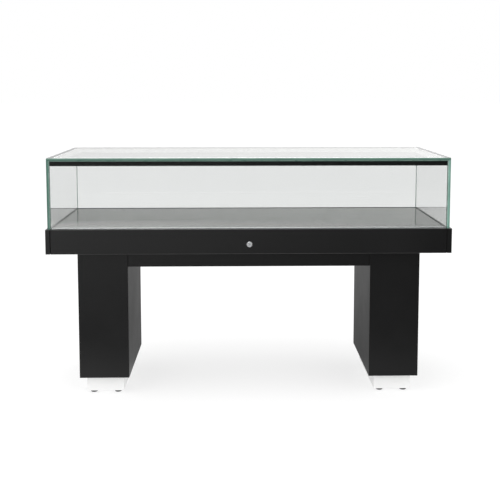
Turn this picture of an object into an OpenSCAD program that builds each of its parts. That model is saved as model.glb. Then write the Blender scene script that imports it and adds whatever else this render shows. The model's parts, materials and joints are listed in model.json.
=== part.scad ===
// Museum table showcase: a glass hood over a display deck that slides out as a
// drawer, carried by a board frame on two box legs with recessed plinths.
// Millimetres, +Z up, floor at Z = 0, front towards -Y, origin under the middle.

/* [Case] */
// Overall width over the side boards
case_w = 1600; // [1200:10:2000]
// Overall depth, fascia face to rear board face
case_d = 600; // [500:10:800]
// Overall height to the top of the glass
case_h = 968; // [900:1:1200]
// Underside of the frame above the floor
frame_z = 590; // [450:1:800]
// Height of the frame boards and fascia
frame_h = 98; // [90:1:140]
// Thickness of laminated boards
board_t = 18; // [16:1:25]
// Small chamfer along board edges
edge_c = 0.8; // [0.2:0.1:2]
// Gap between moving and fixed boards
gap = 2; // [1:0.5:4]

/* [Glass] */
// Thickness of the panes
glass_t = 10; // [6:1:12]
// Setback of the panes from the frame faces
glass_inset = 8; // [4:1:12]
// Depth of the rebate that the panes stand in
rebate_h = 8; // [5:1:15]
// Arris on the glass edges
arris = 0.7; // [0.3:0.1:1.5]

/* [Legs] */
// Width of one leg across the front
leg_w = 200; // [120:5:300]
// Depth of one leg
leg_d = 440; // [300:10:520]
// Setback of the legs behind the fascia
leg_front = 60; // [20:5:120]
// Distance from the middle to the centre of a leg
leg_x = 587; // [400:1:680]
// Height of the plinth and foot together
plinth_top = 70; // [50:1:120]
// Inset of the plinth from the leg faces
plinth_in = 25; // [10:1:50]
// Wall thickness of the plinth tray
plinth_t = 12; // [10:1:20]
// Floor thickness of the plinth tray
plinth_floor = 12; // [9:1:20]

/* [Levelling feet] */
// Clear height under the plinth
foot_h = 8; // [6:1:30]
// Radius of the foot pad
pad_r = 14; // [10:0.5:25]
// Thickness of the foot pad
pad_h = 6; // [4:0.5:12]
// Radius of the threaded stem
stem_r = 4.95; // [3:0.05:8]
// Height of the stem top above the floor
stem_top = 54; // [30:1:60]
// Radial play of the stem in its nut
stem_play = 0.05; // [0.01:0.01:0.1]
// Half spacing of the feet across a leg
foot_dx = 49; // [30:1:80]
// Half spacing of the feet along a leg
foot_dy = 175; // [100:5:190]
// How far a foot screws out
foot_travel = 12; // [5:1:20]

/* [Service box] */
// Height of the apron boards between the legs
apron_h = 64; // [50:1:120]
// Setback of the apron behind the leg fronts
apron_back = 4; // [0:1:20]
// Thickness of the access panel
access_t = 12; // [9:1:18]

/* [Deck and drawer] */
// Drop of the deck surface below the frame top
deck_drop = 1; // [0:0.5:20]
// Thickness of the board under the slides
base_t = 16; // [12:1:25]
// Thickness of the deck board
deck_t = 16; // [12:1:25]
// Thickness of the gloss panel on the deck
deck_panel_t = 3; // [2:0.5:6]
// Height of a telescopic slide
slide_h = 45; // [35:1:60]
// Thickness of a telescopic slide
slide_t = 12.7; // [10:0.1:20]
// Length of a telescopic slide
slide_len = 500; // [300:10:550]
// Sheet thickness of the slide members
slide_wall = 1.5; // [1:0.1:2]
// Travel of the drawer
travel = 450; // [200:10:500]

/* [Lighting] */
// Width of a light channel, seen from above
led_w = 16; // [10:1:30]
// Height of a light channel
led_h = 21.5; // [10:0.5:30]
// Wall thickness of a light channel
led_wall = 1.5; // [1:0.1:2]

/* [Lock] */
// Radius of the lock face
lock_face_r = 11; // [8:0.5:14]
// Thickness of the lock face
lock_face_t = 2.5; // [1.5:0.5:4]
// Radius of the lock barrel
lock_barrel_r = 9; // [7:0.5:11]
// Radius of the turning plug
plug_r = 6; // [4:0.5:8]
// Radial play of the plug in the barrel
plug_play = 0.05; // [0.01:0.01:0.1]
// Height of the lock above the frame underside
lock_up = 37.5; // [30:0.5:60]
// Length of the cam from the lock centre
cam_len = 18.5; // [15:0.5:25]
// Half width of the cam
cam_hw = 6.5; // [5:0.5:8]

/* [Hidden] */
$fn = 48;
half_w = case_w / 2;
half_d = case_d / 2;
in_x = half_w - board_t;                 // inner face of the side boards
in_y = half_d - board_t;                 // inner face of fascia and rear board
frame_top = frame_z + frame_h;
glass_bot = frame_top - rebate_h;        // foot of the panes
deck_top = frame_top - deck_drop;
top_bot = case_h - glass_t;              // underside of the top pane
out_gx = half_w - glass_inset;           // outer face of the side panes
out_gy = half_d - glass_inset;           // outer face of front and rear panes
base_top = frame_z + base_t;
deck_bot = deck_top - deck_panel_t - deck_t;
slide_mid = (base_top + deck_bot) / 2;
slide_y0 = -in_y + 7;                    // front end of the fixed slide members
member_gap = 0.5;                        // play between slide members
mid_web = 5.6;                           // web of the middle member from the board
rail_x = in_x - slide_t;                 // outer face of the drawer rails
rail_t = 18;
rail_y1 = in_y - 20;
rail_lift = 2;                           // rails run clear of the base board
leg_in = leg_x - leg_w / 2;
leg_out = leg_x + leg_w / 2;
leg_y0 = leg_front - half_d;             // front and rear faces of the legs
leg_y1 = leg_y0 + leg_d;
leg_ym = (leg_y0 + leg_y1) / 2;
cap_z = frame_z - board_t;
apron_z = frame_z - apron_h;
apron_y0 = leg_y0 + apron_back;          // front and rear faces of the aprons
apron_y1 = leg_y1 - apron_back;
apron_hy = (apron_y1 - apron_y0) / 2 - board_t;   // half the depth between aprons
seal_t = 1.5;
seal_in = 2;                             // seal setback from the pane faces
bead_h = 5;                              // height of the glazing bead over the deck
bead_d = 6;
nut_flange_r = 12;
nut_flange_t = 2;
nut_r = 6.4;
nut_hole_r = 6.5;
bolt_r = 4;
bolt_hole_r = 4.25;
bolt_head_r = 7;
bolt_head_h = 5.3;
bolt_dx = 50;
bolt_dy = 140;
bolt_top = frame_z + 12;
cleat = 20;
cleat_x = leg_in - 27;
screw_r = 2;
screw_hole_r = 2.25;
screw_head_r = 4;
screw_head_h = 2.4;
screw_x = leg_in - 67;
screw_y = apron_hy - cleat / 2;
screw_top = apron_z + access_t + 14;
vent_l = 90;
vent_w = 5;
vent_pitch = 16;
vent_x = 250;
driver = [190, 62, 32];
driver_x = 110;
driver_y = 10;
gland_x = 300;
gland_z = frame_z - 16;
gland_r = 10;
gland_hex_r = 14;
gland_bore_r = 4;
gland_in = 12;                           // inner end, from the apron's inner face
gland_out = 20;                          // outer end, from the apron's outer face
lock_z = frame_z + lock_up;
barrel_end = -in_y + 7;
plug_end = -in_y + 8;
cam_t = 2.5;
cam_head_r = 4;
cam_head_t = 3;
lock_nut_r = 13;
lock_nut_t = 4;
lock_hole_r = 9.25;
keeper_t = 2;
keeper_y = -in_y + 5;                    // front face of the keeper lip
keeper_h = 10;
keeper_hw = 22;
keeper_len = 30;
bracket = 34;
bracket_t = 3;
bracket_h = 40;
driver_ear = 12;

laminate = "#2b2b2c";
white_paint = "#f2f2f0";
clear_glass = [0.78, 0.9, 0.87, 0.35];
grey_gloss = "#a7aaa8";
zinc = "#b9bcc0";
anodised = "#1b1c1e";
opal = "#fbfbf7";
black_plastic = "#151515";

// ---------- shared shapes ----------

// Rectangle with chamfered corners, from the origin.
module cut_rect(w, h, c)
    polygon([[c, 0], [w - c, 0], [w, c], [w, h - c],
             [w - c, h], [c, h], [0, h - c], [0, c]]);

// Box between two corners with every edge chamfered.
module slab(p0, p1, c = edge_c) {
    s = p1 - p0;
    translate(p0) intersection() {
        linear_extrude(s[2]) cut_rect(s[0], s[1], c);
        translate([0, s[1], 0]) rotate([90, 0, 0])
            linear_extrude(s[1]) cut_rect(s[0], s[2], c);
        rotate([90, 0, 90]) linear_extrude(s[0]) cut_rect(s[1], s[2], c);
    }
}

// Plain box between two corners.
module block(p0, p1) translate(p0) cube(p1 - p0);

// Cylinder along +Y from y0 to y1.
module rod_y(x, z, r, y0, y1)
    translate([x, y0, z]) rotate([-90, 0, 0]) cylinder(r = r, h = y1 - y0);

// Hexagonal prism along +Y.
module hex_y(x, z, r, y0, y1)
    translate([x, y0, z]) rotate([-90, 0, 0]) cylinder(r = r, h = y1 - y0, $fn = 6);

// Mirrors a right-hand child to the left when side is -1.
module sided(side) scale([side, 1, 1]) children();

// ---------- legs and plinths ----------

module plinth(side) color(white_paint)
    translate([side * leg_x, leg_ym, 0]) difference() {
        slab([-leg_w / 2 + plinth_in, -leg_d / 2 + plinth_in, foot_h],
             [leg_w / 2 - plinth_in, leg_d / 2 - plinth_in, plinth_top]);
        block([-leg_w / 2 + plinth_in + plinth_t, -leg_d / 2 + plinth_in + plinth_t,
               foot_h + plinth_floor],
              [leg_w / 2 - plinth_in - plinth_t, leg_d / 2 - plinth_in - plinth_t,
               plinth_top + 1]);
        for (i = [-1, 1], j = [-1, 1]) translate([i * foot_dx, j * foot_dy, foot_h]) {
            translate([0, 0, -1]) cylinder(r = nut_hole_r, h = plinth_floor + 2);
            translate([0, 0, -1]) cylinder(r = nut_flange_r + 0.2, h = nut_flange_t + 1);
        }
    }
module plinth_left() plinth(-1);
module plinth_right() plinth(1);

// Two-step turned nut with a threaded bore, one for each foot.
module foot_nut() rotate_extrude() polygon([
    [stem_r + stem_play, 0], [nut_flange_r, 0], [nut_flange_r, nut_flange_t],
    [nut_r, nut_flange_t], [nut_r, plinth_floor], [stem_r + stem_play, plinth_floor]]);

// A pad with a short collar and a smooth stem for the thread.
module foot(x, y) color(black_plastic) translate([x, y, 0]) rotate_extrude() polygon([
    [0, 0], [pad_r - 1, 0], [pad_r, 1], [pad_r, pad_h - 1.8], [pad_r - 1.8, pad_h],
    [7.5, pad_h], [7, pad_h + 1.4], [stem_r, pad_h + 1.4],
    [stem_r, stem_top - 1], [stem_r - 1, stem_top], [0, stem_top]]);
module foot_left_front_out() foot(-leg_x - foot_dx, leg_ym - foot_dy);
module foot_left_front_in() foot(-leg_x + foot_dx, leg_ym - foot_dy);
module foot_left_rear_out() foot(-leg_x - foot_dx, leg_ym + foot_dy);
module foot_left_rear_in() foot(-leg_x + foot_dx, leg_ym + foot_dy);
module foot_right_front_out() foot(leg_x + foot_dx, leg_ym - foot_dy);
module foot_right_front_in() foot(leg_x - foot_dx, leg_ym - foot_dy);
module foot_right_rear_out() foot(leg_x + foot_dx, leg_ym + foot_dy);
module foot_right_rear_in() foot(leg_x - foot_dx, leg_ym + foot_dy);

module leg_face(side, y0) color(laminate) sided(side)
    slab([leg_in, y0, plinth_top], [leg_out, y0 + board_t, frame_z]);
module leg_left_front() leg_face(-1, leg_y0);
module leg_left_rear() leg_face(-1, leg_y1 - board_t);
module leg_right_front() leg_face(1, leg_y0);
module leg_right_rear() leg_face(1, leg_y1 - board_t);

module leg_side(side, x0) color(laminate) sided(side)
    slab([x0, leg_y0 + board_t, plinth_top], [x0 + board_t, leg_y1 - board_t, frame_z]);
module leg_left_outer() leg_side(-1, leg_out - board_t);
module leg_left_inner() leg_side(-1, leg_in);
module leg_right_outer() leg_side(1, leg_out - board_t);
module leg_right_inner() leg_side(1, leg_in);

// The leg's cap, drilled for its bolts, and its floor.
module leg_plates(side) color(laminate) sided(side) {
    difference() {
        slab([leg_in + board_t, leg_y0 + board_t, cap_z],
             [leg_out - board_t, leg_y1 - board_t, frame_z]);
        for (i = [-1, 1], j = [-1, 1])
            translate([leg_x + i * bolt_dx, leg_ym + j * bolt_dy, cap_z - 1])
                cylinder(r = bolt_hole_r, h = board_t + 2);
    }
    slab([leg_in + board_t, leg_y0 + board_t, plinth_top],
         [leg_out - board_t, leg_y1 - board_t, plinth_top + board_t]);
}
module leg_left_plates() leg_plates(-1);
module leg_right_plates() leg_plates(1);

// ---------- service box between the legs ----------

module apron_front() color(laminate)
    slab([-leg_in, apron_y0, apron_z], [leg_in, apron_y0 + board_t, frame_z]);
module apron_rear() color(laminate) difference() {
    slab([-leg_in, apron_y1 - board_t, apron_z], [leg_in, apron_y1, frame_z]);
    rod_y(gland_x, gland_z, gland_r + 0.3, apron_y1 - board_t - 1, apron_y1 + 1);
}
module service_cleats() color("#b08c5a")
    for (s = [-1, 1]) translate([0, leg_ym + s * screw_y, apron_z + access_t]) difference() {
        slab([-cleat_x, -cleat / 2, 0], [cleat_x, cleat / 2, cleat]);
        for (i = [-1, 1]) translate([i * screw_x, 0, -1])
            cylinder(r = screw_hole_r, h = screw_top - apron_z - access_t + 1.5);
    }
module access_panel() color(laminate) translate([0, leg_ym, apron_z]) difference() {
    slab([-leg_in + 1, -apron_hy + 1, 0], [leg_in - 1, apron_hy - 1, access_t]);
    for (i = [-1, 1], j = [-1, 1]) translate([i * screw_x, j * screw_y, -1]) {
        cylinder(r = screw_hole_r, h = access_t + 2);
        cylinder(r = screw_head_r + 0.3, h = screw_head_h + 1.2);
    }
    for (s = [-1, 1], k = [-2:2])
        block([s * vent_x - vent_l / 2, k * vent_pitch - vent_w / 2, -1],
              [s * vent_x + vent_l / 2, k * vent_pitch + vent_w / 2, access_t + 1]);
}
// Nuts of the levelling feet, bolts of the legs and screws of the access panel.
module fixings() color(zinc) {
    for (s = [-1, 1], i = [-1, 1], j = [-1, 1]) {
        translate([s * leg_x + i * foot_dx, leg_ym + j * foot_dy, foot_h]) foot_nut();
        translate([s * leg_x + i * bolt_dx, leg_ym + j * bolt_dy, cap_z]) {
            translate([0, 0, -bolt_head_h])
                cylinder(r = bolt_head_r, h = bolt_head_h, $fn = 6);
            cylinder(r = bolt_r, h = bolt_top - 0.5 - cap_z);
        }
    }
    for (i = [-1, 1], j = [-1, 1]) translate([i * screw_x, leg_ym + j * screw_y, apron_z]) {
        cylinder(r = screw_head_r, h = screw_head_h);
        cylinder(r = screw_r, h = screw_top - apron_z);
    }
}
module led_driver() color("#d9dadb") translate([driver_x, driver_y, apron_z + access_t]) {
    slab([0, 0, 0], driver, 2);
    for (x = [-driver_ear, driver[0]])
        block([x, 12, 0], [x + driver_ear, driver[1] - 12, 3]);
}
module cable_gland() color(black_plastic) difference() {
    union() {
        rod_y(gland_x, gland_z, gland_r, apron_y1 - board_t - gland_in, apron_y1 + 6);
        hex_y(gland_x, gland_z, gland_hex_r, apron_y1 - board_t - 5, apron_y1 - board_t);
        hex_y(gland_x, gland_z, gland_hex_r, apron_y1, apron_y1 + 6);
        rod_y(gland_x, gland_z, gland_r + 2, apron_y1 + 6, apron_y1 + gland_out - 6);
        translate([gland_x, apron_y1 + gland_out - 6, gland_z]) rotate([-90, 0, 0])
            cylinder(r1 = gland_r + 2, r2 = gland_r - 3, h = 6);
    }
    rod_y(gland_x, gland_z, gland_bore_r, apron_y1 - board_t - gland_in - 1,
          apron_y1 + gland_out + 1);
}

// ---------- frame ----------

module base_board() color(laminate) difference() {
    slab([-in_x, -in_y + gap, frame_z], [in_x, in_y, base_top]);
    for (s = [-1, 1], i = [-1, 1], j = [-1, 1])
        translate([s * leg_x + i * bolt_dx, leg_ym + j * bolt_dy, frame_z - 1])
            cylinder(r = bolt_hole_r, h = bolt_top - frame_z + 1);
}
module frame_side(side) color(laminate) sided(side) difference() {
    slab([in_x, -half_d, frame_z], [half_w, half_d, frame_top]);
    block([in_x - 1, -out_gy, glass_bot], [out_gx, out_gy, frame_top + 1]);
}
module frame_side_left() frame_side(-1);
module frame_side_right() frame_side(1);
module frame_rear() color(laminate) difference() {
    slab([-in_x, in_y, frame_z], [in_x, half_d, frame_top]);
    block([-in_x - 1, in_y - 1, glass_bot], [in_x + 1, out_gy, frame_top + 1]);
}

// ---------- fixed panes ----------

module pane_side(side) color(clear_glass) sided(side)
    slab([in_x, -out_gy, glass_bot], [out_gx, out_gy, top_bot], arris);
module pane_left() pane_side(-1);
module pane_right() pane_side(1);
module pane_rear() color(clear_glass)
    slab([-in_x, in_y, glass_bot], [in_x, out_gy, top_bot], arris);
module pane_top() color(clear_glass)
    slab([-out_gx, -out_gy, top_bot], [out_gx, out_gy, case_h], arris);

// ---------- light channels under the top pane ----------

// Section of a channel: closed side at 0, open side towards +X, height in Y.
module channel_section() difference() {
    square([led_w, led_h]);
    translate([led_wall, led_wall]) square([led_w, led_h - 2 * led_wall]);
}
module cover_section()
    translate([led_w - 3.2, led_wall]) square([2, led_h - 2 * led_wall]);
module strip_section()
    translate([led_wall, led_h / 2 - 4]) square([1.4, 8]);

// Runs a section along X behind the front (-1) or rear (1) pane.
module run_x(side, len, y)
    translate([-len / 2, side * y, top_bot - led_h]) rotate([90, 0, 90])
        linear_extrude(len) mirror([side > 0 ? 1 : 0, 0]) children();
// Runs a section along Y beside the left (-1) or right (1) pane.
module run_y(side, len)
    translate([side * in_x, len / 2 + 0.5, top_bot - led_h]) rotate([90, 0, 0])
        linear_extrude(len) mirror([side > 0 ? 1 : 0, 0]) children();

front_led_y = in_y - 1;                  // clear of the sliding front pane
led_len_x = 2 * in_x;
led_len_y = 2 * in_y - 1 - 2 * led_w;
module led_channel_front() color(anodised) run_x(-1, led_len_x, front_led_y) channel_section();
module led_channel_rear() color(anodised) run_x(1, led_len_x, in_y) channel_section();
module led_channel_left() color(anodised) run_y(-1, led_len_y) channel_section();
module led_channel_right() color(anodised) run_y(1, led_len_y) channel_section();
module led_diffusers() color(opal) {
    run_x(-1, led_len_x - 4, front_led_y) cover_section();
    run_x(1, led_len_x - 4, in_y) cover_section();
    for (s = [-1, 1]) run_y(s, led_len_y) cover_section();
}
module led_strips() color("#f4e9b0") {
    run_x(-1, led_len_x - 40, front_led_y) strip_section();
    run_x(1, led_len_x - 40, in_y) strip_section();
    for (s = [-1, 1]) run_y(s, led_len_y - 10) strip_section();
}

// ---------- telescopic slides ----------

// Sections: X is the distance in from the side board, Y is height about the middle.
module outer_section() difference() {
    translate([0, -slide_h / 2]) square([slide_t - member_gap, slide_h]);
    translate([slide_wall, -slide_h / 2 + slide_wall])
        square([slide_t, slide_h - 2 * slide_wall]);
}
mid_hh = slide_h / 2 - slide_wall - member_gap;
in_hh = mid_hh - slide_wall - member_gap;
module middle_section() {
    translate([mid_web, -mid_hh]) square([slide_wall, 2 * mid_hh]);
    for (s = [-1, 1]) translate([slide_wall + member_gap, s * (mid_hh - slide_wall / 2)
                                 - slide_wall / 2])
        square([slide_t - slide_wall - 2 * member_gap, slide_wall]);
}
module inner_section() difference() {
    translate([mid_web + slide_wall + member_gap, -in_hh])
        square([slide_t - mid_web - slide_wall - member_gap, 2 * in_hh]);
    translate([mid_web, -in_hh + slide_wall])
        square([slide_t - mid_web - slide_wall, 2 * in_hh - 2 * slide_wall]);
}
// Runs a section along Y against the left (-1) or right (1) side board.
module run_slide(side, y0, len) color(zinc)
    sided(side) translate([in_x, y0 + len, slide_mid]) rotate([90, 0, 0])
        linear_extrude(len) mirror([1, 0]) children();

module slide_outer_left() run_slide(-1, slide_y0, slide_len) outer_section();
module slide_outer_right() run_slide(1, slide_y0, slide_len) outer_section();
module slide_middle_left() run_slide(-1, slide_y0 + 1, slide_len) middle_section();
module slide_middle_right() run_slide(1, slide_y0 + 1, slide_len) middle_section();
module slide_inner_left() run_slide(-1, slide_y0 + 2, slide_len) inner_section();
module slide_inner_right() run_slide(1, slide_y0 + 2, slide_len) inner_section();

// ---------- drawer: fascia, front pane and deck ----------

module fascia() color(laminate) difference() {
    slab([-in_x + gap, -half_d, frame_z], [in_x - gap, -in_y, frame_top]);
    block([-in_x, -out_gy, glass_bot], [in_x, -in_y + 1, frame_top + 1]);
    rod_y(0, lock_z, lock_hole_r, -half_d - 1, -in_y + 1);
}
module pane_front() color(clear_glass)
    slab([-in_x + gap, -out_gy, glass_bot], [in_x - gap, -in_y, top_bot - gap], arris);
module glazing_bead() color(zinc)
    slab([-in_x + 2 * gap, -in_y, deck_bot + deck_t], [in_x - 2 * gap, -in_y + bead_d,
          deck_top + bead_h], 1);
module dust_seals() color([0.9, 0.93, 0.92, 0.6]) {
    for (s = [-1, 1]) sided(s)
        block([in_x - gap, -out_gy + seal_in, frame_top + 1],
              [in_x - gap + seal_t, -in_y - seal_in, top_bot - gap]);
    block([-in_x + gap, -out_gy + seal_in, top_bot - gap],
          [in_x - gap, -in_y - seal_in, top_bot - gap + seal_t]);
}
module deck_board() color("#8b8d8c")
    slab([-in_x + gap, -in_y, deck_bot], [in_x - gap, in_y - gap, deck_bot + deck_t]);
module deck_panel() color(grey_gloss)
    slab([-in_x + gap, -in_y + bead_d + 0.5, deck_bot + deck_t],
         [in_x - gap, in_y - gap, deck_top], 0.5);
module drawer_rail(side) color(laminate) sided(side)
    slab([rail_x - rail_t, -in_y, base_top + rail_lift], [rail_x, rail_y1, deck_bot]);
module drawer_rail_left() drawer_rail(-1);
module drawer_rail_right() drawer_rail(1);
module fascia_brackets() color(zinc) for (s = [-1, 1]) sided(s)
    translate([rail_x - rail_t - bracket, -in_y, slide_mid - bracket_h / 2]) difference() {
        cube([bracket, bracket, bracket_h]);
        translate([-1, bracket_t, -1])
            cube([bracket - bracket_t + 1, bracket, bracket_h + 2]);
    }

// ---------- lock ----------

// Face, barrel with its bore for the plug, and the nut behind the fascia.
module lock_housing() color(zinc) difference() {
    union() {
        translate([0, -half_d - lock_face_t, lock_z]) rotate([-90, 0, 0])
            rotate_extrude() polygon([[0, 0], [lock_face_r - 1, 0], [lock_face_r, 1],
                [lock_face_r, lock_face_t], [lock_barrel_r, lock_face_t],
                [lock_barrel_r, barrel_end + half_d + lock_face_t],
                [0, barrel_end + half_d + lock_face_t]]);
        hex_y(0, lock_z, lock_nut_r, -in_y, -in_y + lock_nut_t);
    }
    rod_y(0, lock_z, plug_r + plug_play, -half_d - lock_face_t - 1, barrel_end + 1);
}
module lock_plug() color("#d5d7da") difference() {
    rod_y(0, lock_z, plug_r, -half_d - lock_face_t, plug_end);
    block([-1.2, -half_d - lock_face_t - 1, lock_z - 3.4],
          [1.2, -half_d - lock_face_t + 9, lock_z + 4.6]);
}
// Flat cam pointing sideways: unlocked. Its screw holds it to the plug.
module lock_cam() color(zinc) {
    translate([0, plug_end, lock_z]) rotate([-90, 0, 0]) linear_extrude(cam_t) union() {
        circle(r = cam_hw + 1.5);
        translate([0, -cam_hw]) square([cam_len - cam_hw, 2 * cam_hw]);
        translate([cam_len - cam_hw, 0]) circle(r = cam_hw);
    }
    rod_y(0, lock_z, cam_head_r, plug_end + cam_t, plug_end + cam_t + cam_head_t);
}
module lock_keeper() color(zinc) {
    block([-keeper_hw, keeper_y, base_top], [keeper_hw, keeper_y + keeper_t,
           base_top + keeper_h]);
    block([-keeper_hw, keeper_y + keeper_t, base_top],
          [keeper_hw, keeper_y + keeper_len, base_top + keeper_t]);
}

plinth_left();
plinth_right();
foot_left_front_out();
foot_left_front_in();
foot_left_rear_out();
foot_left_rear_in();
foot_right_front_out();
foot_right_front_in();
foot_right_rear_out();
foot_right_rear_in();
leg_left_front();
leg_left_rear();
leg_left_outer();
leg_left_inner();
leg_left_plates();
leg_right_front();
leg_right_rear();
leg_right_outer();
leg_right_inner();
leg_right_plates();
fixings();
apron_front();
apron_rear();
service_cleats();
access_panel();
led_driver();
cable_gland();
base_board();
frame_side_left();
frame_side_right();
frame_rear();
pane_left();
pane_right();
pane_rear();
pane_top();
led_channel_front();
led_channel_rear();
led_channel_left();
led_channel_right();
led_diffusers();
led_strips();
slide_outer_left();
slide_outer_right();
slide_middle_left();
slide_middle_right();
slide_inner_left();
slide_inner_right();
fascia();
pane_front();
glazing_bead();
dust_seals();
deck_board();
deck_panel();
drawer_rail_left();
drawer_rail_right();
fascia_brackets();
lock_housing();
lock_plug();
lock_cam();
lock_keeper();
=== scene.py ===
# Looks of the museum table showcase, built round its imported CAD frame.
import json
import math

import bpy
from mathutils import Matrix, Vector


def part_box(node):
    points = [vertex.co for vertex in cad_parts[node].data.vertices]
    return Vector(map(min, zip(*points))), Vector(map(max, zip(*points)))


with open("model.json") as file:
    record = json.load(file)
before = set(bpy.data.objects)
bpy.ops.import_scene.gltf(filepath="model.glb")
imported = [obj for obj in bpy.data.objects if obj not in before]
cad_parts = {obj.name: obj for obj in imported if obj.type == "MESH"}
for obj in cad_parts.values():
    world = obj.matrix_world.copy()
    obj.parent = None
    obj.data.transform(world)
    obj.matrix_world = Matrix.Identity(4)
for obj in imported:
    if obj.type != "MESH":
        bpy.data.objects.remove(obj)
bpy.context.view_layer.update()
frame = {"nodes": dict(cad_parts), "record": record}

# ---------------------------------------------------------------- materials


def grey(v):
    return (v, v, v)


def new_tree(name):
    """An empty node material with its output node."""
    mat = bpy.data.materials.new(name)
    mat.use_nodes = True
    nt = mat.node_tree
    nt.nodes.clear()
    out = nt.nodes.new("ShaderNodeOutputMaterial")
    return mat, nt, out


def coords(nt, stretch):
    """Object coordinates, scaled along each axis."""
    tc = nt.nodes.new("ShaderNodeTexCoord")
    mp = nt.nodes.new("ShaderNodeMapping")
    mp.inputs["Scale"].default_value = stretch
    nt.links.new(tc.outputs["Object"], mp.inputs["Vector"])
    return mp.outputs["Vector"]


def noise(nt, vec, scale, detail=3.0, rough=0.55):
    """Noise of about 0.3 to 0.7."""
    n = nt.nodes.new("ShaderNodeTexNoise")
    n.inputs["Scale"].default_value = scale
    n.inputs["Detail"].default_value = detail
    n.inputs["Roughness"].default_value = rough
    nt.links.new(vec, n.inputs["Vector"])
    return n.outputs["Fac"]


def ranged(nt, fac, lo, hi, a=0.3, b=0.7):
    """fac moved from the range a to b into lo to hi."""
    m = nt.nodes.new("ShaderNodeMapRange")
    for key, v in (("From Min", a), ("From Max", b), ("To Min", lo), ("To Max", hi)):
        m.inputs[key].default_value = v
    nt.links.new(fac, m.inputs["Value"])
    return m.outputs["Result"]


def mixed(nt, fac, a, b):
    """Colour a where fac is 0, b where it is 1. Each is a tuple or a socket."""
    m = nt.nodes.new("ShaderNodeMix")
    m.data_type = "RGBA"
    for sock, v in ((m.inputs[6], a), (m.inputs[7], b)):
        if isinstance(v, tuple):
            sock.default_value = (*v, 1.0)
        else:
            nt.links.new(v, sock)
    nt.links.new(fac, m.inputs[0])
    return m.outputs[2]


def bumped(nt, height, strength, distance):
    """A surface normal with height as relief."""
    b = nt.nodes.new("ShaderNodeBump")
    b.inputs["Strength"].default_value = strength
    b.inputs["Distance"].default_value = distance
    nt.links.new(height, b.inputs["Height"])
    return b.outputs["Normal"]


def surface(name, dark, light, blotch, rough, grain, bump, metallic=0.0, ior=1.5,
            stretch=(1, 1, 1), emit=None):
    """A solid surface: colour between two tones, roughness between two values, grain in relief.

    blotch and grain are the scales of the patches and of the grain, bump is the
    grain's strength and depth, and emit is a colour and a strength.
    """
    mat, nt, out = new_tree(name)
    p = nt.nodes.new("ShaderNodeBsdfPrincipled")
    nt.links.new(p.outputs[0], out.inputs["Surface"])
    vec = coords(nt, stretch)
    big = noise(nt, vec, blotch, 4.0)
    fine = noise(nt, vec, grain, 2.0)
    nt.links.new(mixed(nt, ranged(nt, big, 0.0, 1.0), dark, light), p.inputs["Base Color"])
    nt.links.new(ranged(nt, big, rough[0], rough[1]), p.inputs["Roughness"])
    nt.links.new(bumped(nt, fine, bump[0], bump[1]), p.inputs["Normal"])
    p.inputs["Metallic"].default_value = metallic
    p.inputs["IOR"].default_value = ior
    if emit:
        p.inputs["Emission Color"].default_value = (*emit[:3], 1.0)
        p.inputs["Emission Strength"].default_value = emit[3]
    return mat


def masked(nt, source, above):
    """1 where source is above a value, else 0."""
    m = nt.nodes.new("ShaderNodeMath")
    m.operation = "GREATER_THAN"
    m.inputs[1].default_value = above
    nt.links.new(source, m.inputs[0])
    return m.outputs[0]


def magnitude(nt, vector, axis):
    """The size of one part of a vector, without its sign."""
    split = nt.nodes.new("ShaderNodeSeparateXYZ")
    nt.links.new(vector, split.inputs[0])
    m = nt.nodes.new("ShaderNodeMath")
    m.operation = "ABSOLUTE"
    nt.links.new(split.outputs[axis], m.inputs[0])
    return m.outputs[0]


def combined(nt, operation, a, b):
    """Two masks combined, kept between 0 and 1."""
    m = nt.nodes.new("ShaderNodeMath")
    m.operation = operation
    m.use_clamp = True
    nt.links.new(a, m.inputs[0])
    nt.links.new(b, m.inputs[1])
    return m.outputs[0]


def unbonded(nt, tc, face, side_x, rear_y, skin_z):
    """The clear faces less the margins of the underside that are bonded to the panes below.

    The margins lie beyond side_x and rear_y, and the underside is what is below skin_z.
    """
    at = nt.nodes.new("ShaderNodeSeparateXYZ")
    nt.links.new(tc.outputs["Object"], at.inputs[0])
    margin = combined(nt, "MAXIMUM", masked(nt, magnitude(nt, tc.outputs["Object"], 0), side_x),
                      masked(nt, at.outputs[1], rear_y))
    under = combined(nt, "SUBTRACT", margin, masked(nt, at.outputs[2], skin_z))
    return combined(nt, "SUBTRACT", face, under)


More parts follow.
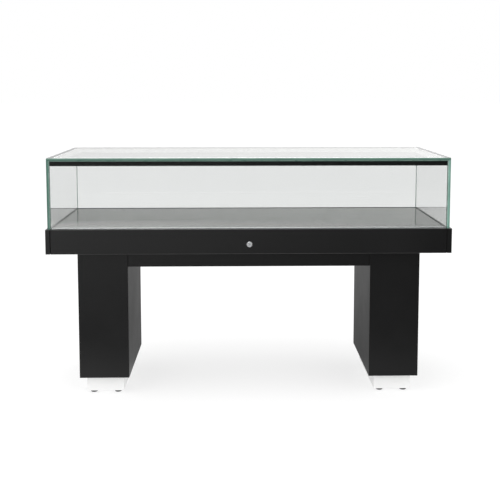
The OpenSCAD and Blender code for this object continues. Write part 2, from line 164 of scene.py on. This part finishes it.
def glass(name, axis, near, far, edge_shade_near, edge_shade_far, bonded=None, graze=0.0):
    """Clear glass with green polished edges.

    axis is the pane's thin direction. The green edges carry painted shade, going from the first
    edge colour to the second between two distances along it. Light from lamps passes straight
    through.
    graze is how much more of a mirror the pane is when seen almost edge on.
    """
    mat, nt, out = new_tree(name)
    tc = nt.nodes.new("ShaderNodeTexCoord")
    vec = coords(nt, (1, 1, 1))
    clear = nt.nodes.new("ShaderNodeBsdfPrincipled")
    nt.links.new(mixed(nt, noise(nt, vec, 2.0), GLASS_TINT[0], GLASS_TINT[1]),
                 clear.inputs["Base Color"])
    clear.inputs["Roughness"].default_value = 0.0
    clear.inputs["IOR"].default_value = 1.5
    clear.inputs["Transmission Weight"].default_value = 1.0
    through = nt.nodes.new("ShaderNodeBsdfTransparent")
    through.inputs["Color"].default_value = (*GLASS_TINT[1], 1.0)
    lp = nt.nodes.new("ShaderNodeLightPath")
    either = nt.nodes.new("ShaderNodeMath")
    either.operation = "MAXIMUM"
    nt.links.new(lp.outputs["Is Shadow Ray"], either.inputs[0])
    nt.links.new(lp.outputs["Is Diffuse Ray"], either.inputs[1])
    pane = nt.nodes.new("ShaderNodeMixShader")
    nt.links.new(either.outputs[0], pane.inputs["Fac"])
    nt.links.new(clear.outputs[0], pane.inputs[1])
    nt.links.new(through.outputs[0], pane.inputs[2])

    if graze:
        facing = nt.nodes.new("ShaderNodeLayerWeight")
        facing.inputs["Blend"].default_value = 0.5
        shine = nt.nodes.new("ShaderNodeBsdfAnisotropic")
        shine.inputs["Color"].default_value = (1.0, 1.0, 1.0, 1.0)
        shine.inputs["Roughness"].default_value = 0.0
        mirror = nt.nodes.new("ShaderNodeMixShader")
        nt.links.new(ranged(nt, facing.outputs["Facing"], 0.0, graze, 0.66, 0.78),
                     mirror.inputs["Fac"])
        nt.links.new(pane.outputs[0], mirror.inputs[1])
        nt.links.new(shine.outputs[0], mirror.inputs[2])
        pane = mirror

    edge = nt.nodes.new("ShaderNodeBsdfPrincipled")
    # Painted shade on the green edges, from the first edge colour to the second across the pane.
    across = ranged(nt, magnitude(nt, tc.outputs["Object"], axis), 0.0, 1.0, near, far)
    painted_edge_shade = mixed(nt, across, edge_shade_near, edge_shade_far)
    cloud = noise(nt, coords(nt, (1, 1, 1)), 9.0)
    nt.links.new(mixed(nt, ranged(nt, cloud, 0.0, 0.35), painted_edge_shade, (0.02, 0.06, 0.05)),
                 edge.inputs["Base Color"])
    nt.links.new(ranged(nt, cloud, 0.12, 0.22), edge.inputs["Roughness"])
    edge.inputs["IOR"].default_value = 1.5
    edge.inputs["Specular IOR Level"].default_value = 0.3

    face = masked(nt, magnitude(nt, tc.outputs["Normal"], axis), FACE_ON)
    if bonded:
        face = unbonded(nt, tc, face, *bonded)
    whole = nt.nodes.new("ShaderNodeMixShader")
    nt.links.new(face, whole.inputs["Fac"])
    nt.links.new(edge.outputs[0], whole.inputs[1])
    nt.links.new(pane.outputs[0], whole.inputs[2])
    nt.links.new(whole.outputs[0], out.inputs["Surface"])
    return mat


def laminate(name):
    """Satin black laminate boards, with a painted highlight on the chamfers along their horizontal
    edges.
    """
    mat = surface(name, (0.0040, 0.0040, 0.0042), (0.0064, 0.0064, 0.0066), 3.0, (0.34, 0.44),
                  1400.0, (0.12, 0.0004), ior=1.42)
    nt = mat.node_tree
    p = next(n for n in nt.nodes if n.type == "BSDF_PRINCIPLED")
    tc = nt.nodes.new("ShaderNodeTexCoord")
    most = magnitude(nt, tc.outputs["Normal"], 0)
    for axis in (1, 2):
        m = nt.nodes.new("ShaderNodeMath")
        m.operation = "MAXIMUM"
        nt.links.new(most, m.inputs[0])
        nt.links.new(magnitude(nt, tc.outputs["Normal"], axis), m.inputs[1])
        most = m.outputs[0]
    black = p.inputs["Base Color"].links[0].from_socket
    # Painted highlight: chamfers along horizontal edges turn pale grey, standing in for the light
    # they catch.
    chamfer_highlight = mixed(nt, ranged(nt, noise(nt, coords(nt, (1, 1, 1)), 12.0, 4.0), 0.0, 1.0),
                   grey(0.07), grey(0.11))
    level = masked(nt, magnitude(nt, tc.outputs["Normal"], 2), LEVEL)
    highlight_mask = combined(nt, "SUBTRACT", level, masked(nt, most, FACE_ON))
    nt.links.new(mixed(nt, highlight_mask, black, chamfer_highlight), p.inputs["Base Color"])
    return mat


def channel(name):
    """Black anodised profile with a white bonding tape on the inner part of its upper face, the
    tape also made to glow as painted light.
    """
    mat = surface(name, (0.003, 0.005, 0.004), (0.005, 0.007, 0.006), 30.0, (0.30, 0.42),
                  600.0, (0.10, 0.0002), ior=1.25, stretch=(1, 1, 8))
    nt = mat.node_tree
    p = next(n for n in nt.nodes if n.type == "BSDF_PRINCIPLED")
    tc = nt.nodes.new("ShaderNodeTexCoord")
    split = nt.nodes.new("ShaderNodeSeparateXYZ")
    nt.links.new(tc.outputs["Normal"], split.inputs[0])
    black = p.inputs["Base Color"].links[0].from_socket
    at = nt.nodes.new("ShaderNodeSeparateXYZ")
    nt.links.new(tc.outputs["Object"], at.inputs[0])
    side_x, rear_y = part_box("pane_right")[0].x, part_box("pane_rear")[0].y
    side = masked(nt, magnitude(nt, tc.outputs["Object"], 0), side_x - BOND_WIDTH)
    rear = masked(nt, at.outputs[1], rear_y - BOND_WIDTH)
    outer = combined(nt, "MAXIMUM", side, rear)
    # The white tape also glows at strength 1, a painted glow: it is no lamp.
    tape_with_painted_glow = combined(nt, "SUBTRACT", masked(nt, split.outputs[2], FACE_ON), outer)
    nt.links.new(mixed(nt, tape_with_painted_glow, black, (0.92, 0.92, 0.91)), p.inputs["Base Color"])
    nt.links.new(mixed(nt, tape_with_painted_glow, grey(0.0), grey(1.0)), p.inputs["Emission Color"])
    p.inputs["Emission Strength"].default_value = 1.0
    return mat


FACE_ON = 0.9       # flat faces have a part of their normal above this, chamfers don't
LEVEL = 0.5         # chamfers along horizontal edges have an upright part above this; they get the painted highlight
BOND_WIDTH = 0.012  # dark outer strip on the upper faces of the light channels
SKIN = 0.0005       # anything this close to a pane's lower face counts as that face
GLASS_TINT = ((0.908, 0.916, 0.913), (0.914, 0.922, 0.919))
# Green edge tones with painted light and shade: lit, in shade, half shade and brightly lit.
EDGE_LIT = (0.21, 0.33, 0.27)
EDGE_IN_SHADE, EDGE_HALF_SHADE, EDGE_BRIGHT_LIT = (0.040, 0.105, 0.080), (0.13, 0.25, 0.20), (0.26, 0.46, 0.39)

M = {
    "laminate": laminate("black_laminate"),
    "white": surface("white_lacquer", (0.90, 0.90, 0.895), (0.94, 0.94, 0.935), 6.0,
                     (0.30, 0.38), 900.0, (0.08, 0.0003)),
    "zinc": surface("zinc_steel", (0.42, 0.43, 0.45), (0.58, 0.59, 0.61), 90.0,
                    (0.26, 0.40), 1500.0, (0.10, 0.0002), metallic=1.0),
    "black_zinc": surface("black_zinc", (0.012, 0.012, 0.013), (0.022, 0.022, 0.022), 60.0,
                          (0.35, 0.5), 1200.0, (0.10, 0.0002), metallic=0.6),
    "anodised": channel("black_anodised"),
    "opal": surface("opal_cover", (0.86, 0.86, 0.84), (0.92, 0.92, 0.90), 25.0,
                    (0.35, 0.45), 700.0, (0.05, 0.0002), emit=(1.0, 1.0, 0.98, 0.55)),
    "board": surface("led_board", (0.70, 0.64, 0.40), (0.86, 0.84, 0.72), 120.0,
                     (0.4, 0.5), 900.0, (0.1, 0.0002)),
    "aluminium": surface("satin_aluminium", (0.78, 0.79, 0.80), (0.88, 0.89, 0.90), 20.0,
                         (0.34, 0.44), 900.0, (0.10, 0.0002), metallic=0.7, stretch=(1, 12, 12)),
    "seal": surface("clear_seal", (0.12, 0.17, 0.145), (0.17, 0.23, 0.20), 50.0,
                    (0.25, 0.35), 700.0, (0.1, 0.0002)),
    "deck_core": surface("deck_core", (0.10, 0.105, 0.10), (0.14, 0.145, 0.14), 40.0,
                         (0.55, 0.7), 800.0, (0.2, 0.0003)),
    "deck": surface("grey_gloss", (0.050, 0.056, 0.047), (0.066, 0.073, 0.062), 1.6,
                    (0.02, 0.04), 9.0, (0.01, 0.0003), ior=1.42),
    "nylon": surface("black_nylon", (0.010, 0.010, 0.010), (0.018, 0.018, 0.018), 80.0,
                     (0.45, 0.55), 1200.0, (0.15, 0.0002)),
    "enamel": surface("grey_enamel", (0.60, 0.61, 0.62), (0.70, 0.71, 0.72), 40.0,
                      (0.35, 0.45), 900.0, (0.1, 0.0002)),
    "softwood": surface("softwood", (0.36, 0.21, 0.09), (0.55, 0.37, 0.18), 22.0,
                        (0.5, 0.65), 260.0, (0.25, 0.0003), stretch=(0.12, 1, 1)),
    "chrome": surface("lock_chrome", (0.50, 0.51, 0.52), (0.62, 0.63, 0.64), 60.0,
                      (0.24, 0.34), 1500.0, (0.08, 0.0001), metallic=0.75),
}

by_slot = {
    "white_lacquer": "white", "black_zinc": "black_zinc", "black_laminate": "laminate",
    "zinc_steel": "zinc", "softwood": "softwood", "grey_enamel": "enamel",
    "black_nylon": "nylon", "clear_glass": "seal", "black_anodised": "anodised",
    "opal_cover": "opal", "led_board": "board", "satin_aluminium": "aluminium",
    "clear_seal": "seal", "deck_core": "deck_core", "grey_gloss": "deck",
    "lock_chrome": "chrome",
}
slots = {s["node"]: s["material_slot"] for s in frame["record"]["subparts"]}


def paint(obj, mat):
    """Gives a CAD node its material and leaves its mesh as it is."""
    if not obj.material_slots:
        obj.data.materials.append(mat)
    for s in obj.material_slots:
        s.link = "OBJECT"
        s.material = mat


for node, obj in frame["nodes"].items():
    paint(obj, M[by_slot[slots[node]]])

# The panes' edges are green, with painted shade over it: darker towards the outer faces of the
# side panes, darker on the left pane than the right, lighter towards the top face of the top pane.
side_lo, side_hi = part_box("pane_right")
rear_lo, rear_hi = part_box("pane_rear")
top_lo, top_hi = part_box("pane_top")
glass_left = glass("glass_left", 0, side_lo.x, side_hi.x, EDGE_HALF_SHADE, EDGE_IN_SHADE, graze=0.6)
glass_right = glass("glass_right", 0, side_lo.x, side_hi.x, EDGE_BRIGHT_LIT, EDGE_HALF_SHADE, graze=0.4)
glass_flat = glass("glass_flat", 1, rear_lo.y, rear_hi.y, EDGE_HALF_SHADE, EDGE_HALF_SHADE)
glass_top = glass("glass_top", 2, top_lo.z, top_hi.z, EDGE_IN_SHADE, EDGE_LIT,
                  bonded=(side_lo.x, rear_lo.y, top_lo.z + SKIN))
for node, mat in (("pane_left", glass_left), ("pane_right", glass_right),
                  ("pane_rear", glass_flat), ("pane_front", glass_flat),
                  ("pane_top", glass_top)):
    paint(frame["nodes"][node], mat)

# ---------------------------------------------------------------- stage

FLOOR_REACH = 60.0
floor_mesh = bpy.data.meshes.new("floor")
floor_mesh.from_pydata([(-FLOOR_REACH, -FLOOR_REACH, 0), (FLOOR_REACH, -FLOOR_REACH, 0),
                        (FLOOR_REACH, FLOOR_REACH, 0), (-FLOOR_REACH, FLOOR_REACH, 0)],
                       [], [(0, 1, 2, 3)])
floor = bpy.data.objects.new("floor", floor_mesh)
bpy.context.collection.objects.link(floor)


def mirrored(nt):
    """1 for what a glossy surface mirrors, 0 for what is seen directly or through glass."""
    lp = nt.nodes.new("ShaderNodeLightPath")
    return masked(nt, lp.outputs["Glossy Depth"], 0.5)


def floor_material():
    """White floor, evenly lit. Glossy surfaces mirror it as a dimmer room, lighter on the left."""
    mat, nt, out = new_tree("studio_floor")
    p = nt.nodes.new("ShaderNodeBsdfPrincipled")
    nt.links.new(p.outputs[0], out.inputs["Surface"])
    p.inputs["Roughness"].default_value = 0.9
    p.inputs["Specular IOR Level"].default_value = 0.1
    tc = nt.nodes.new("ShaderNodeTexCoord")
    split = nt.nodes.new("ShaderNodeSeparateXYZ")
    nt.links.new(tc.outputs["Object"], split.inputs[0])
    x, y = split.outputs[0], split.outputs[1]
    side = ranged(nt, x, 0.0, 1.0, -1.6, 1.6)
    # What is mirrored, from far in front of the case to far behind it.
    room = mixed(nt, side, grey(0.10), grey(0.05))
    for start, end, left, right in MIRRORED_FLOOR:
        room = mixed(nt, ranged(nt, y, 0.0, 1.0, start, end), room,
                     mixed(nt, side, grey(left), grey(right)))
    dark = mirrored(nt)
    nt.links.new(mixed(nt, dark, grey(FLOOR_ALBEDO), grey(0.0)), p.inputs["Base Color"])
    lit = mixed(nt, noise(nt, tc.outputs["Object"], 0.6), grey(0.98), grey(1.0))
    lit = mixed(nt, dark, lit, room)
    nt.links.new(lit, p.inputs["Emission Color"])
    glow = nt.nodes.new("ShaderNodeMapRange")
    glow.inputs["To Min"].default_value = FLOOR_GLOW
    glow.inputs["To Max"].default_value = 1.0
    nt.links.new(dark, glow.inputs["Value"])
    nt.links.new(glow.outputs["Result"], p.inputs["Emission Strength"])
    return mat


FLOOR_ALBEDO, FLOOR_GLOW = 0.36, 0.66
# Start and end along Y of each change in the mirrored floor, then its left and right tone after it
MIRRORED_FLOOR = ((-4.8, -4.2, 2.50, 0.20), (-2.9, -2.1, 0.04, 0.0), (-0.9, -0.5, 1.10, 0.30),
                  (-0.1, 0.2, 0.46, 0.24), (0.8, 1.8, 0.44, 0.40), (3.0, 4.0, 0.90, 1.0))
floor_mesh.materials.append(floor_material())


def studio():
    """White all round, and a dimmer room with a bright left for what glossy surfaces mirror."""
    world = bpy.data.worlds.new("studio")
    bpy.context.scene.world = world
    world.use_nodes = True
    nt = world.node_tree
    nt.nodes.clear()
    out = nt.nodes.new("ShaderNodeOutputWorld")
    bg = nt.nodes.new("ShaderNodeBackground")
    nt.links.new(bg.outputs[0], out.inputs["Surface"])
    tc = nt.nodes.new("ShaderNodeTexCoord")
    split = nt.nodes.new("ShaderNodeSeparateXYZ")
    nt.links.new(tc.outputs["Generated"], split.inputs[0])
    side = ranged(nt, split.outputs[0], 0.0, 1.0, -0.35, 0.35)
    front = mixed(nt, side, grey(1.10), grey(0.03))
    behind = mixed(nt, side, grey(0.78), grey(0.96))
    room = mixed(nt, ranged(nt, split.outputs[1], 0.0, 1.0, -0.4, 0.4), front, behind)
    lp = nt.nodes.new("ShaderNodeLightPath")
    lit = mixed(nt, lp.outputs["Is Diffuse Ray"], grey(1.0), grey(1.05))
    nt.links.new(mixed(nt, mirrored(nt), lit, room), bg.inputs["Color"])


studio()


def softbox(name, loc, aim, size, power):
    """A rectangular lamp aimed at a point, hidden from the camera."""
    data = bpy.data.lights.new(name, "AREA")
    data.shape = "RECTANGLE"
    data.size, data.size_y = size
    data.energy = power
    obj = bpy.data.objects.new(name, data)
    obj.location = loc
    obj.rotation_mode = "QUATERNION"
    obj.rotation_quaternion = (Vector(aim) - Vector(loc)).to_track_quat("-Z", "Y")
    obj.visible_camera = False
    bpy.context.collection.objects.link(obj)


softbox("overhead", (-0.6, -0.8, 4.2), (0, 0, 0), (4.0, 4.0), 95)

# ---------------------------------------------------------------- camera

cam_data = bpy.data.cameras.new("camera")
cam = bpy.data.objects.new("camera", cam_data)
bpy.context.collection.objects.link(cam)
bpy.context.scene.camera = cam
FRAME_PX = 500.0
FOCAL_PX, YAW, PITCH = 827.35, 0.0207, 0.0933
cam_data.sensor_width = 36.0
cam_data.lens = FOCAL_PX / FRAME_PX * cam_data.sensor_width
cam_data.shift_x, cam_data.shift_y = -0.0047, -0.17
cam_data.clip_end = 200.0
cam.location = (-0.0555, -3.5114, 1.2419)
cam.rotation_euler = (math.pi / 2 - PITCH, 0.0, -YAW)
bpy.context.scene.view_settings.view_transform = "Standard"
